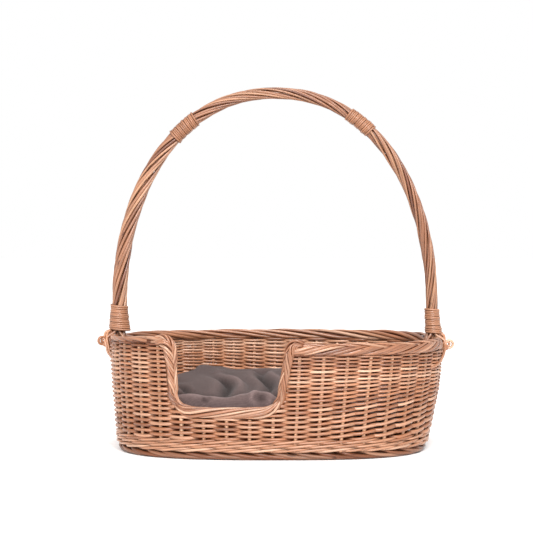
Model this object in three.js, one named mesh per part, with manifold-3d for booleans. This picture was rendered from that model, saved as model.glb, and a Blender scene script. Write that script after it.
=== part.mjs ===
// Wicker pet bed basket: an oval willow basket with an entry cut into its front wall, a fixed
// arched handle and a loose cushion. Millimetres, +Z up. The basket stands on Z = 0, its front
// faces -Y and its length runs along X. Every piece is a named mesh.

import * as THREE from "three";
import { mergeVertices } from "three/addons/utils/BufferGeometryUtils.js";
import Module from "manifold-3d";

// Outside of the wall: its plan where it stands and its plan at the rim. A power of 2 is an
// ellipse, and a higher one has squarer ends.
const FOOT = { halfLength: 277, halfDepth: 191, power: 2.8 };
const RIM = { halfLength: 297, halfDepth: 215, power: 2.45 };
const RIM_HEIGHT = 186; // middle of the rim border
const FOOT_SHIFT = -6; // the foot stands this far along X from the middle of the rim
const BORDER_RADIUS = 11.5;
const CORNER = { height: 200, radius: 8 }; // the rim border at the front left, higher and slimmer

const WALL = 16; // stakes with a weaver on each side
const FOOT_BORDER_HEIGHT = 14;
const FOOT_TUCK = 4;
const UPSETT_HEIGHT = 20;
const MAT = { bottom: 4, top: 13 };
const STAKES = 40; // places round the wall; the handle's feet take the two at the ends
const STAKE_RADIUS = 3.3;

// The entry: the middle line of its border, seen from the front.
const ENTRY = {
  left: -174, leftLean: 6, right: 11.5, rightLean: 17, bottom: 80.5, corner: 35, borderRadius: 10.5,
};

// The handle: a bow rod with twisted strands round it. Its middle line is an arch over two feet.
const ARCH = { halfWidth: 281.5, spring: 243, rise: 390, power: 2.15 };
const BOW_RADIUS = 5.5;
const STRANDS = { count: 4, inner: 7.4, outerLeft: 13.4, outerRight: 10.6, turns: 5 };
const LASHING = { inside: 0.5, thickness: 2, upperHalfLength: 27, lowerLength: 46, aboveRim: 15 };
const UPPER_LASHING_TURN = { left: 34, right: 31 }; // degrees from the top of the arch

const TIE = { radius: 3, gap: 1.5, frontOffset: 16 };
const LOOP = { radius: 6, rod: 1.5 };

const CUSHION = { halfLength: 252, halfDepth: 174, power: 2.9, bottom: 14, seam: 62, top: 122 };
const COVER = 2; // thickness of the cushion's fabric
const LIFT = 0.3; // gap between touching pieces
const END_GAP = 1; // room for the square end of a slanting rod

const ROUND_STEPS = 60; // steps round the basket
const BOW_STEPS = 64; // steps along the handle

const COLOURS = { willow: 0xb9854f, willowDark: 0x9a6636, fabric: 0x6e6262, filling: 0xe8e4dc };

const wasm = await Module();
wasm.setup();

// ---- Geometry helpers ----

// An oval with squarer ends, round Z.
class Oval extends THREE.Curve {
  constructor(halfLength, halfDepth, power) {
    super();
    Object.assign(this, { halfLength, halfDepth, power });
  }

  getPoint(share, target = new THREE.Vector3()) {
    const angle = 2 * Math.PI * share;
    const along = Math.abs(Math.cos(angle) / this.halfLength) ** this.power;
    const across = Math.abs(Math.sin(angle) / this.halfDepth) ** this.power;
    const radius = (along + across) ** (-1 / this.power);
    return target.set(radius * Math.cos(angle), radius * Math.sin(angle), 0);
  }
}

// Numbers from `from` to `to` in equal steps.
function range(count, from = 0, to = 1) {
  return Array.from({ length: count + 1 }, (_, i) => from + ((to - from) * i) / count);
}

// Joins a run of equal-sized outlines into one skin. A closed run meets its own start, and an
// open one is capped at both ends.
function loft(rings, closed = false) {
  const size = rings[0].length;
  const index = [];
  const spans = closed ? rings.length : rings.length - 1;
  for (let i = 0; i < spans; i += 1) {
    const next = (i + 1) % rings.length;
    for (let j = 0; j < size; j += 1) {
      const [a, b] = [i * size + j, i * size + ((j + 1) % size)];
      const [c, d] = [next * size + j, next * size + ((j + 1) % size)];
      index.push(a, b, d, a, d, c);
    }
  }
  if (!closed) {
    const last = (rings.length - 1) * size;
    for (let j = 1; j < size - 1; j += 1) {
      index.push(0, j + 1, j, last, last + j, last + j + 1);
    }
  }
  const positions = rings.flat().flatMap((point) => point.toArray());
  const geometry = new THREE.BufferGeometry();
  geometry.setAttribute("position", new THREE.Float32BufferAttribute(positions, 3));
  geometry.setIndex(toSolid(positions, index).volume() < 0 ? index.reverse() : index);
  return geometry;
}

function toSolid(positions, index) {
  const vertProperties = Float32Array.from(positions);
  return new wasm.Manifold(new wasm.Mesh({ numProp: 3, vertProperties, triVerts: Uint32Array.from(index) }));
}

function solidOf(geometry) {
  const bare = new THREE.BufferGeometry();
  bare.setAttribute("position", geometry.getAttribute("position"));
  bare.setIndex(geometry.index);
  const merged = mergeVertices(bare, 1e-3);
  return toSolid(merged.attributes.position.array, merged.index.array);
}

// What is left of a geometry once every cutter is taken out of it.
function cut(geometry, cutters) {
  const solid = cutters.reduce((left, cutter) => left.subtract(solidOf(cutter)), solidOf(geometry));
  const mesh = solid.getMesh();
  const result = new THREE.BufferGeometry();
  result.setAttribute("position", new THREE.BufferAttribute(mesh.vertProperties, 3));
  result.setIndex(new THREE.BufferAttribute(mesh.triVerts, 1));
  return result;
}

// A round rod along a curve. A full circle gets two sides for each of its curve segments.
function rod(curve, radius, steps, sides = 6) {
  const section = new THREE.Shape().absarc(0, 0, radius, 0, 2 * Math.PI);
  return new THREE.ExtrudeGeometry(section, { extrudePath: curve, steps, curveSegments: sides / 2 });
}

// ---- The wall ----

// The wall's surface at a depth inside its outer face: a point at a share of the way round
// (0 at +X, a quarter at the back) and a height.
function wallAt(inset) {
  const foot = new Oval(FOOT.halfLength - inset, FOOT.halfDepth - inset, FOOT.power);
  const rim = new Oval(RIM.halfLength - inset, RIM.halfDepth - inset, RIM.power);
  return (share, height) => {
    const rise = height / RIM_HEIGHT;
    const point = foot.getPointAt(share).lerp(rim.getPointAt(share), rise);
    point.x += FOOT_SHIFT * (1 - rise);
    point.z = height;
    return point;
  };
}

const wallOuter = wallAt(0);
const wallMiddle = wallAt(WALL / 2);
const wallInner = wallAt(WALL);

// How far a place on the rim has risen to the raised corner left of the entry, 0 to 1.
function cornerRise(share) {
  return THREE.MathUtils.smoothstep(share, 0.45, 0.56) * (share < 0.7 ? 1 : 0);
}

const rimHeight = (share) => THREE.MathUtils.lerp(RIM_HEIGHT, CORNER.height, cornerRise(share));
const rimRadius = (share) => THREE.MathUtils.lerp(BORDER_RADIUS, CORNER.radius, cornerRise(share));

// The share of the way round at which the front wall's middle stands at x.
function frontShare(x, height) {
  let [low, high] = [0.5, 1];
  while (high - low > 1e-6) {
    const middle = (low + high) / 2;
    if (wallMiddle(middle, height).x < x) low = middle;
    else high = middle;
  }
  return low;
}

const onFront = (x, height) => wallMiddle(frontShare(x, height), height);

const weaveFoot = FOOT_BORDER_HEIGHT + LIFT;
const weaveTop = (share) => rimHeight(share) - rimRadius(share) - LIFT;

// The rim border runs from one side of the entry round the back to the other. A cutter of it is
// `extra` thicker and runs on past both ends.
function rimBorderGeometry(extra = 0) {
  const overrun = extra > 0 ? ENTRY.borderRadius : 0;
  const start = frontShare(ENTRY.right + ENTRY.rightLean - ENTRY.borderRadius - overrun, RIM_HEIGHT) - 1;
  const end = frontShare(ENTRY.left - ENTRY.leftLean + ENTRY.borderRadius + overrun, RIM_HEIGHT);
  const shares = range(ROUND_STEPS, start, end).map((share) => (share + 1) % 1);
  const curve = new THREE.CatmullRomCurve3(shares.map((share) => wallMiddle(share, rimHeight(share))));
  const { normals, binormals } = curve.computeFrenetFrames(ROUND_STEPS, false);
  const rings = range(ROUND_STEPS).map((along, i) => {
    const radius = rimRadius((THREE.MathUtils.lerp(start, end, along) + 1) % 1) + extra;
    return range(7, 0, 1.75 * Math.PI).map((angle) =>
      curve.getPointAt(along)
        .addScaledVector(normals[i], radius * Math.cos(angle))
        .addScaledVector(binormals[i], radius * Math.sin(angle)));
  });
  return loft(rings);
}

// The line of the entry border, down one side of the cut-out, along the bottom and up the other.
function entryLine(radiusOut) {
  const { left, leftLean, right, rightLean, bottom, corner } = ENTRY;
  const line = new THREE.Path();
  line.moveTo(left - leftLean - radiusOut, CORNER.height);
  line.lineTo(left - radiusOut, bottom + corner);
  line.absarc(left + corner, bottom + corner, corner + radiusOut, Math.PI, 1.5 * Math.PI);
  line.lineTo(right - corner, bottom - radiusOut);
  line.absarc(right - corner, bottom + corner, corner + radiusOut, 1.5 * Math.PI, 2 * Math.PI);
  line.lineTo(right + rightLean + radiusOut, CORNER.height);
  return line;
}

// The entry border's legs are cut to sit under the rim border.
function entryBorderGeometry() {
  const steps = 44;
  const points = entryLine(0)
    .getSpacedPoints(steps)
    .filter(({ x, y }) => y <= rimHeight(frontShare(x, RIM_HEIGHT)))
    .map(({ x, y }) => onFront(x, y));
  const legs = rod(new THREE.CatmullRomCurve3(points), ENTRY.borderRadius, steps, 8);
  return cut(legs, [rimBorderGeometry(2 * LIFT)]);
}

// A block as wide as the entry and its border, through the front wall only.
function entryCutter() {
  const shape = new THREE.Shape(entryLine(ENTRY.borderRadius + 2 * LIFT).getPoints(6));
  const block = new THREE.ExtrudeGeometry(shape, { depth: RIM.halfDepth, bevelEnabled: false });
  return block.rotateX(Math.PI / 2).translate(0, -RIM.halfDepth / 3, 0);
}

// The top of a stake. One that would run into the entry border stops below it, where the
// cut-out's lower corners are round.
function stakeTop(share) {
  const { left, right, bottom, corner, borderRadius } = ENTRY;
  const { x, y } = wallMiddle(share, bottom);
  const outer = corner + borderRadius + 2 * LIFT;
  const intoCorner = Math.max(0, corner - Math.min(x - left, right - x) - STAKE_RADIUS);
  if (y > 0 || intoCorner > outer) return weaveTop(share);
  return bottom + corner - Math.sqrt(outer ** 2 - intoCorner ** 2);
}

function stakeGeometry(share, clearance = 0) {
  const overrun = clearance > 0 ? 2 * END_GAP : -END_GAP;
  const ends = [weaveFoot - overrun, stakeTop(share) + overrun];
  const line = new THREE.LineCurve3(...ends.map((height) => wallMiddle(share, height)));
  return rod(line, STAKE_RADIUS + clearance, 1);
}

// ---- The handle ----

// The bow's line: up out of one end wall, over the arch and down into the other.
function bowCurve() {
  const footHeights = [FOOT_BORDER_HEIGHT + 2, 60, 100, 140];
  const foot = (share) => footHeights.map((height) => wallMiddle(share, height));
  const arch = range(24, Math.PI, 0).map((angle) => {
    const bulge = (value) => Math.sign(value) * Math.abs(value) ** (2 / ARCH.power);
    return new THREE.Vector3(
      ARCH.halfWidth * bulge(Math.cos(angle)),
      0,
      ARCH.spring + ARCH.rise * bulge(Math.sin(angle)),
    );
  });
  const points = [...foot(0.5), ...arch, ...foot(0).reverse()];
  return new THREE.CatmullRomCurve3(points);
}

const bow = bowCurve();

// The share of the bow's length at which it passes a height, on the left or the right.
function bowShare(height, side) {
  let [low, high] = [0, 0.5];
  while (high - low > 1e-5) {
    const middle = (low + high) / 2;
    if (bow.getPointAt(side === "left" ? middle : 1 - middle).z < height) low = middle;
    else high = middle;
  }
  return side === "left" ? low : 1 - low;
}

// A point beside the bow: the angle runs round the bow, from its outer side towards the back.
function besideBow(share, radius, angle) {
  const tangent = bow.getTangentAt(share);
  const outward = new THREE.Vector3(-tangent.z, 0, tangent.x);
  const offset = outward.multiplyScalar(radius * Math.cos(angle));
  return bow.getPointAt(share).add(offset).add(new THREE.Vector3(0, radius * Math.sin(angle), 0));
}

const strandEnds = {
  left: bowShare(rimHeight(0.5) + LASHING.aboveRim - 2, "left"),
  right: bowShare(rimHeight(0) + LASHING.aboveRim - 2, "right"),
};

// The ring of strands thins from its left end to the top of the arch.
function strandOuter(share) {
  const halfway = (strandEnds.left + strandEnds.right) / 2;
  const over = THREE.MathUtils.clamp((share - strandEnds.left) / (halfway - strandEnds.left), 0, 1);
  return THREE.MathUtils.lerp(STRANDS.outerLeft, STRANDS.outerRight, over);
}

// One strand fills its part of the ring round the bow and twists along it.
function strandGeometry(number) {
  const steps = 60;
  const width = (2 * Math.PI) / STRANDS.count;
  const slack = 0.1; // radians left free on each side of a strand
  const rings = range(steps).map((over) => {
    const share = THREE.MathUtils.lerp(strandEnds.left, strandEnds.right, over);
    const start = number * width - over * STRANDS.turns * 2 * Math.PI;
    const at = (radius, part) => besideBow(share, radius, start + slack + part * (width - 2 * slack));
    const outer = strandOuter(share);
    const shoulder = outer - 1.6;
    return [
      at(STRANDS.inner, 0), at(shoulder, 0), at(outer, 0.3), at(outer, 0.7),
      at(shoulder, 1), at(STRANDS.inner, 1), at(STRANDS.inner, 0.5),
    ];
  });
  return loft(rings);
}

// A binding wound round the strands between two shares of the bow.
function lashingGeometry(from, to, flare = 0) {
  const shares = range(2, from, to);
  const sleeve = (share, i, radiusOut) => {
    const widest = shares.length - 1;
    const spread = (flare * Math.abs(i - (from < 0.5 ? widest : 0))) / widest;
    return range(11, 0, (2 * Math.PI * 11) / 12).map((angle) =>
      besideBow(share, strandOuter(share) + LASHING.inside + radiusOut * (1 + spread), angle));
  };
  const outside = shares.map((share, i) => sleeve(share, i, LASHING.thickness));
  const inside = shares.map((share, i) => sleeve(share, i, 0)).reverse();
  return loft([...outside, ...inside], true);
}

function upperLashing(side) {
  const turn = THREE.MathUtils.degToRad(UPPER_LASHING_TURN[side]);
  const height = ARCH.spring + ARCH.rise * Math.cos(turn) ** (2 / ARCH.power);
  const middle = bowShare(height, side);
  const half = LASHING.upperHalfLength / bow.getLength();
  return lashingGeometry(middle - half, middle + half);
}

function lowerLashing(side) {
  const bottom = rimHeight(side === "left" ? 0.5 : 0) + LASHING.aboveRim;
  const shares = [bowShare(bottom, side), bowShare(bottom + LASHING.lowerLength, side)].sort();
  return lashingGeometry(...shares, 0.8);
}

// A tie rod starts at the handle's foot, crosses over the outside of the border and runs into
// the wall below it.
function tieCurve(side) {
  const share = side === "left" ? 0.5 : 0;
  const outward = side === "left" ? -1 : 1;
  const centre = wallMiddle(share, rimHeight(share));
  const reach = rimRadius(share) + TIE.radius + TIE.gap;
  const over = [60, 30, 0, -30, -60].map(THREE.MathUtils.degToRad).map((angle) =>
    new THREE.Vector3(
      centre.x + outward * reach * Math.cos(angle),
      -TIE.frontOffset,
      centre.z + reach * Math.sin(angle),
    ));
  const inWall = new THREE.Vector3(centre.x - outward * 2, -TIE.frontOffset, centre.z - 2 * BORDER_RADIUS);
  return new THREE.CatmullRomCurve3([...over, inWall]);
}

function tieGeometry(side, clearance = 0) {
  return rod(tieCurve(side), TIE.radius + clearance, 10);
}

// A small willow ring against the outside of a tie rod. The left one is turned nearly end-on to
// the front.
function loopMesh(side) {
  const share = side === "left" ? 0.5 : 0;
  const outward = side === "left" ? -1 : 1;
  const turn = side === "left" ? Math.PI / 3 : 0;
  const centre = wallMiddle(share, rimHeight(share));
  const halfWidth = LOOP.radius * Math.cos(turn) + LOOP.rod;
  const reach = rimRadius(share) + 2 * TIE.radius + TIE.gap + LIFT + halfWidth;
  const ring = new THREE.TorusGeometry(LOOP.radius, LOOP.rod, 5, 12).rotateX(Math.PI / 2).rotateZ(turn);
  const loop = willow(`rim_loop_${side}`, ring);
  loop.position.set(centre.x + outward * reach, -TIE.frontOffset, centre.z - LOOP.radius / 2);
  return loop;
}

// ---- The woven bands ----

// A band of weaving between two heights, with a channel for every rod that stands in it.
function bandGeometry(bottom, top) {
  const rings = range(ROUND_STEPS - 1, 0, 1 - 1 / ROUND_STEPS).map((share) => [
    wallOuter(share, bottom),
    wallOuter(share, top(share)),
    wallInner(share, top(share)),
    wallInner(share, bottom),
  ]);
  const channels = stakeShares.map((share) => stakeGeometry(share, LIFT + 0.1));
  const feet = rod(bow, BOW_RADIUS + 2 * LIFT, BOW_STEPS, 8);
  return cut(loft(rings, true), [...channels, feet]);
}

// The foot border's section, as depths inside the wall's outer face and heights: flat underneath,
// and tucked a little under the wall.
function footBorderGeometry() {
  const [out, inner, height] = [FOOT_TUCK, FOOT_TUCK + WALL, FOOT_BORDER_HEIGHT];
  const section = [[out + 3, 0], [out, 5], [out + 1, height], [inner - 1, height], [inner, 5], [inner - 3, 0]];
  const sides = section.map(([inset, z]) => ({ at: wallAt(inset), z }));
  const shares = range(ROUND_STEPS - 1, 0, 1 - 1 / ROUND_STEPS);
  return loft(shares.map((share) => sides.map(({ at, z }) => at(share, z))), true);
}

function baseMatGeometry() {
  const edge = wallAt(FOOT_TUCK + WALL + 1);
  const outline = range(ROUND_STEPS - 1, 0, 1 - 1 / ROUND_STEPS).map((share) => edge(share, MAT.bottom));
  const levels = [MAT.bottom, MAT.top];
  return loft(levels.map((z) => outline.map(({ x, y }) => new THREE.Vector3(x, y, z))));
}

// ---- The cushion ----

// The cushion's outline between a flat end (part 0) and the seam (part 1), for a skin that lies
// `shell` millimetres inside the cover.
function cushionRing(end, part, shell) {
  const fullness = (1 - (0.97 * (1 - part)) ** 3.2) ** (1 / 3.2);
  const inward = Math.sign(CUSHION.seam - end);
  const height = THREE.MathUtils.lerp(end + inward * shell, CUSHION.seam - inward * LIFT, part);
  const length = (CUSHION.halfLength - 1.6 * shell) * (0.35 + 0.65 * fullness);
  const depth = (CUSHION.halfDepth - 1.6 * shell) * (0.2 + 0.8 * fullness);
  const oval = new Oval(length, depth, CUSHION.power);
  const middle = FOOT_SHIFT * (1 - CUSHION.seam / RIM_HEIGHT);
  return range(23, 0, 23 / 24).map((share) => {
    const point = oval.getPointAt(share);
    return new THREE.Vector3(point.x + middle, point.y, height);
  });
}

const cushionParts = [0, 0.12, 0.35, 0.65, 1];

// One sewn panel: a cup of fabric from its flat middle to the seam and back up inside.
function coverGeometry(end) {
  const skin = (shell) => cushionParts.map((part) => cushionRing(end, part, shell));
  return loft([...skin(0), ...skin(COVER).reverse()]);
}

function fillingGeometry() {
  const skin = (end) => cushionParts.slice(0, -1).map((part) => cushionRing(end, part, COVER + LIFT));
  return loft([...skin(CUSHION.bottom), ...skin(CUSHION.top).reverse()]);
}

// ---- Assembly ----

function piece(name, geometry, color, roughness) {
  const mesh = new THREE.Mesh(geometry, new THREE.MeshStandardMaterial({ color, roughness, metalness: 0 }));
  mesh.name = name;
  return mesh;
}

const willow = (name, geometry) => piece(name, geometry, COLOURS.willow, 0.5);
const skein = (name, geometry) => piece(name, geometry, COLOURS.willowDark, 0.45);
const fabric = (name, geometry) => piece(name, geometry, COLOURS.fabric, 0.9);

const sides = ["left", "right"];
const stakeShares = range(STAKES - 1, 0, 1 - 1 / STAKES).filter((share) => (share * 2) % 1 > 1e-6);
const upsettTop = weaveFoot + UPSETT_HEIGHT;
const bowThroughRim = rod(bow, BOW_RADIUS + 2 * LIFT, BOW_STEPS, 8);
const tieChannels = sides.map((side) => tieGeometry(side, 2 * LIFT));
const sideWeave = bandGeometry(upsettTop + LIFT, weaveTop);

const basket = new THREE.Group();
basket.add(
  willow("base_mat", baseMatGeometry()),
  willow("foot_border", footBorderGeometry()),
  willow("upsett_wale", bandGeometry(weaveFoot, () => upsettTop)),
  willow("side_weave", cut(sideWeave, [entryCutter(), ...tieChannels])),
  willow("entry_border", entryBorderGeometry()),
  willow("rim_border", cut(rimBorderGeometry(), [bowThroughRim])),
  ...stakeShares.map((share, i) => willow(`stake_${String(i + 1).padStart(2, "0")}`, stakeGeometry(share))),
  willow("handle_bow", rod(bow, BOW_RADIUS, BOW_STEPS, 8)),
  ...range(STRANDS.count - 1, 0, STRANDS.count - 1).map((i) =>
    willow(`handle_strand_${i + 1}`, strandGeometry(i))),
  ...sides.map((side) => skein(`handle_lashing_upper_${side}`, upperLashing(side))),
  ...sides.map((side) => skein(`handle_lashing_lower_${side}`, lowerLashing(side))),
  ...sides.map((side) => willow(`tie_rod_${side}`, tieGeometry(side))),
  ...sides.map(loopMesh),
);

const cushion = new THREE.Group();
cushion.add(
  fabric("cushion_top_cover", coverGeometry(CUSHION.top)),
  fabric("cushion_bottom_cover", coverGeometry(CUSHION.bottom)),
  piece("cushion_filling", fillingGeometry(), COLOURS.filling, 1),
);

const petBed = new THREE.Group();
petBed.add(basket, cushion);

export default petBed;
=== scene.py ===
"""A wicker pet bed basket with a fixed handle and a loose cushion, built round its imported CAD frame.
Metres, +Z up; the basket stands on Z = 0, its front faces -Y and its length runs along X."""

import math

import bpy
import numpy as np
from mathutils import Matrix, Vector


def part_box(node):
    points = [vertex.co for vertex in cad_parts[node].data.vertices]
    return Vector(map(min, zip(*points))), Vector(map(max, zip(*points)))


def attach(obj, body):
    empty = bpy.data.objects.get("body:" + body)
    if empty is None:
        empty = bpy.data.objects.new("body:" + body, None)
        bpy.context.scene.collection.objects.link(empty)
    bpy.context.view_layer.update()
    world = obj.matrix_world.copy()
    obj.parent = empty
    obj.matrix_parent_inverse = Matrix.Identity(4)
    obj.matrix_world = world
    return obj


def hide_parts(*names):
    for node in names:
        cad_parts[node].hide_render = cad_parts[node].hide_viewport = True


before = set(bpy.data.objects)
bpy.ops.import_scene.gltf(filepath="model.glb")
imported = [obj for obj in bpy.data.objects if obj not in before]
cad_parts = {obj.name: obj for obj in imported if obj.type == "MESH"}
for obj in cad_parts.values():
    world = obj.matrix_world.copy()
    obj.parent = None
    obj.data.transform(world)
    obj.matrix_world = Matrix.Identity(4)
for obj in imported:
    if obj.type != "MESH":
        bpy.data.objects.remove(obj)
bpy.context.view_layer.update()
random = np.random.default_rng(11)

# ---- Driving sizes ----

STAKES = 40  # places round the wall; the handle's feet take the two at the ends
STAKE_RADIUS = 0.0033
WALL_HALF = 0.008  # half the thickness of the woven wall
RIM = {"height": 0.186, "radius": 0.0115}
CORNER = {"height": 0.200, "radius": 0.008}  # the rim border left of the entry, higher and slimmer
ENTRY = {"left": -0.174, "right": 0.0115, "bottom": 0.0805, "corner": 0.035}
LEAN = {"left": 0.006, "right": 0.017}  # how far each side of the entry leans away towards its top
FOOT_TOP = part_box("foot_border")[1].z
UPSETT_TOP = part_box("upsett_wale")[1].z

ROWS = 40  # rows of randing in the side weave
ROW_PITCH = {"bottom": 1.2, "top": 0.84}  # the lowest rows are coarser
BELLY = {"right": 0.0080, "left": 0.0025}  # how far the ends of the wall bulge
WEAVER = {"thick": 0.68, "thin": 0.56}  # a rod's radius at its butt and at its tip, in rows
FRONT_RISE = 0.0143  # how steeply the rows of the right front climb towards the handle
BACK_LEAN = {"middle": 0.285, "half": 0.2, "most": 0.22}  # where the rows of the back lean, and how much
SLANT = 0.0022  # how much a stroke of the lower right front slants
WANDER = {"height": 0.0002, "out": 0.0003}  # how far a weaver strays at each stake
UNDER_BORDER = 0.006  # how far outside the middle of the entry border a row of weavers stops
STEPS_PER_STAKE = 6  # points along a weaver from one stake to the next
ROD_SIDES = 8
ROD_END = {"reach": 0.3, "radius": 0.72}  # a rod's rounded end, in radii
ENDS = {"left": 0.5, "right": 0.0}  # the shares of the way round at which the handle's feet stand
OUTWARD = {"left": -1, "right": 1}  # which way along X leads away from the entry's middle


# ---- Numbers ----


def lerp(a, b, t):
    return a + (b - a) * t


def smoothstep(value, low, high):
    t = np.clip((np.asarray(value, float) - low) / (high - low), 0, 1)
    return t * t * (3 - 2 * t)


def unit(vectors):
    return vectors / np.linalg.norm(vectors, axis=-1, keepdims=True)


def curve_through(points, steps=8):
    """A smooth curve through a few points, as rows of x, y and z."""
    points = np.asarray(points, float)
    padded = np.vstack([2 * points[0] - points[1], points, 2 * points[-1] - points[-2]])
    t = np.linspace(0, 1, steps, endpoint=False)[:, None]
    spans = [
        0.5 * (2 * b + (c - a) * t + (2 * a - 5 * b + 4 * c - d) * t**2 + (3 * b - a - 3 * c + d) * t**3)
        for a, b, c, d in zip(padded, padded[1:], padded[2:], padded[3:])
    ]
    return np.vstack([*spans, points[-1:]])


def run_along(points):
    """How far along a path each of its points lies."""
    steps = np.linalg.norm(np.diff(points, axis=0), axis=1)
    return np.concatenate([[0], np.cumsum(steps)])


def table_at(place, places, table):
    """A table's rows at other places, along straight lines between its own."""
    return np.stack([np.interp(place, places, column) for column in table.T], -1)


def with_ends(rows):
    """The rows with the first and the last of them doubled."""
    return np.concatenate([rows[:1], rows, rows[-1:]])


def points_of(mesh):
    """A mesh's vertices, as rows of x, y and z."""
    places = np.zeros(len(mesh.vertices) * 3)
    mesh.vertices.foreach_get("co", places)
    return places.reshape(-1, 3)


def vertices_of(node):
    return points_of(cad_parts[node].data)


def centre_of(node):
    low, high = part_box(node)
    return (np.array(low) + np.array(high)) / 2


def oval_share(over, power):
    """How wide a squarish oval still is, as a part of its whole, so far over from its middle."""
    return (1 - abs(over) ** power) ** (1 / power)


def ring_faces(rings, sides, first=0):
    """Faces between rings of vertices, and the faces that close the first ring and the last."""
    here = np.arange(sides)
    after = (here + 1) % sides
    lower = first + np.arange(rings - 1)[:, None] * sides
    upper = lower + sides
    quads = np.stack([lower + here, lower + after, upper + after, upper + here], -1)
    ends = [(first + here[::-1]).tolist(), (first + (rings - 1) * sides + here).tolist()]
    return quads.reshape(-1, 4).tolist(), ends


# ---- The wall, as the surface that runs through the stakes' middle lines ----


def standing_line(points):
    """The slope and start of x, then of y, along an upright rod's middle line."""
    return (*np.polyfit(points[:, 2], points[:, 0], 1), *np.polyfit(points[:, 2], points[:, 1], 1))


def all_standing_lines():
    """One line for each place round the wall: the stakes, and the handle's feet at the two ends."""
    bow = vertices_of("handle_bow")
    feet = bow[bow[:, 2] < RIM["height"] * 0.7]
    stakes = [standing_line(vertices_of(f"stake_{i:02d}")) for i in range(1, STAKES - 1)]
    half = STAKES // 2
    right = [standing_line(feet[feet[:, 0] > 0])]
    left = [standing_line(feet[feet[:, 0] < 0])]
    return np.array(right + stakes[: half - 1] + left + stakes[half - 1 :])


def made_finer(values, count):
    """A closed run of evenly spaced values, resampled by its Fourier series."""
    return np.fft.irfft(np.fft.rfft(values, axis=0), count, axis=0) * count / len(values)


WALL_LINES = made_finer(all_standing_lines(), 800)
WALL_LINES = np.vstack([WALL_LINES, WALL_LINES[:1]])
WALL_SHARES = np.linspace(0, 1, len(WALL_LINES))


def belly(share, height):
    """How far along X the wall's ends bulge beyond straight stakes, between the foot and the rim."""
    facing = np.cos(2 * np.pi * share)
    most = np.where(facing > 0, BELLY["right"], -BELLY["left"])
    rise = smoothstep(height, FOOT_TOP, 0.12) * (1 - smoothstep(height, 0.165, 0.19))
    return most * rise * smoothstep(facing**2, 0.7, 1.0)


def wall_flat(share, height):
    """x and y of the wall's middle at a share of the way round and a height."""
    slope_x, start_x, slope_y, start_y = (
        np.interp(share % 1, WALL_SHARES, column) for column in WALL_LINES.T
    )
    return np.stack([slope_x * height + start_x + belly(share, height), slope_y * height + start_y], -1)


def wall_outward(share, height):
    """The level direction out of the wall."""
    step = 2e-3
    ahead = wall_flat(share + step, height) - wall_flat(share - step, height)
    return unit(np.stack([ahead[..., 1], -ahead[..., 0], np.zeros(ahead.shape[:-1])], -1))


def wall(share, height, out=0.0):
    """Points on the wall: share 0 is at +X and 0.25 at the back, and `out` is outwards of the middle."""
    share, height = np.broadcast_arrays(np.asarray(share, float), np.asarray(height, float))
    flat = wall_flat(share, height)
    middle = np.concatenate([flat, height[..., None]], -1)
    return middle + wall_outward(share, height) * np.asarray(out)[..., None]


def front_share(x, height):
    """The share of the way round at which the front wall stands at x."""
    shares = np.linspace(0.5, 1, 501)
    return float(np.interp(x, wall_flat(shares, height)[:, 0], shares))


def corner_rise(share):
    """How far the rim has risen to the raised corner left of the entry, 0 to 1."""
    share = np.asarray(share) % 1
    return smoothstep(share, 0.45, 0.56) * (1 - smoothstep(share, 0.64, 0.75))


def rim_height(share):
    return lerp(RIM["height"], CORNER["height"], corner_rise(share))


def rim_radius(share):
    return lerp(RIM["radius"], CORNER["radius"], corner_rise(share))


def entry_edge(side, height):
    """x of the middle of the entry border on its left or right side at a height."""
    straight_from = ENTRY["bottom"] + ENTRY["corner"]
    if height >= straight_from:
        over = (height - straight_from) / (CORNER["height"] - straight_from)
        return ENTRY[side] + OUTWARD[side] * LEAN[side] * over
    drop = straight_from - max(height, ENTRY["bottom"])
    inward = ENTRY["corner"] - math.sqrt(ENTRY["corner"] ** 2 - drop**2)
    return ENTRY[side] - OUTWARD[side] * inward


# ---- Rods ----


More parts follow.
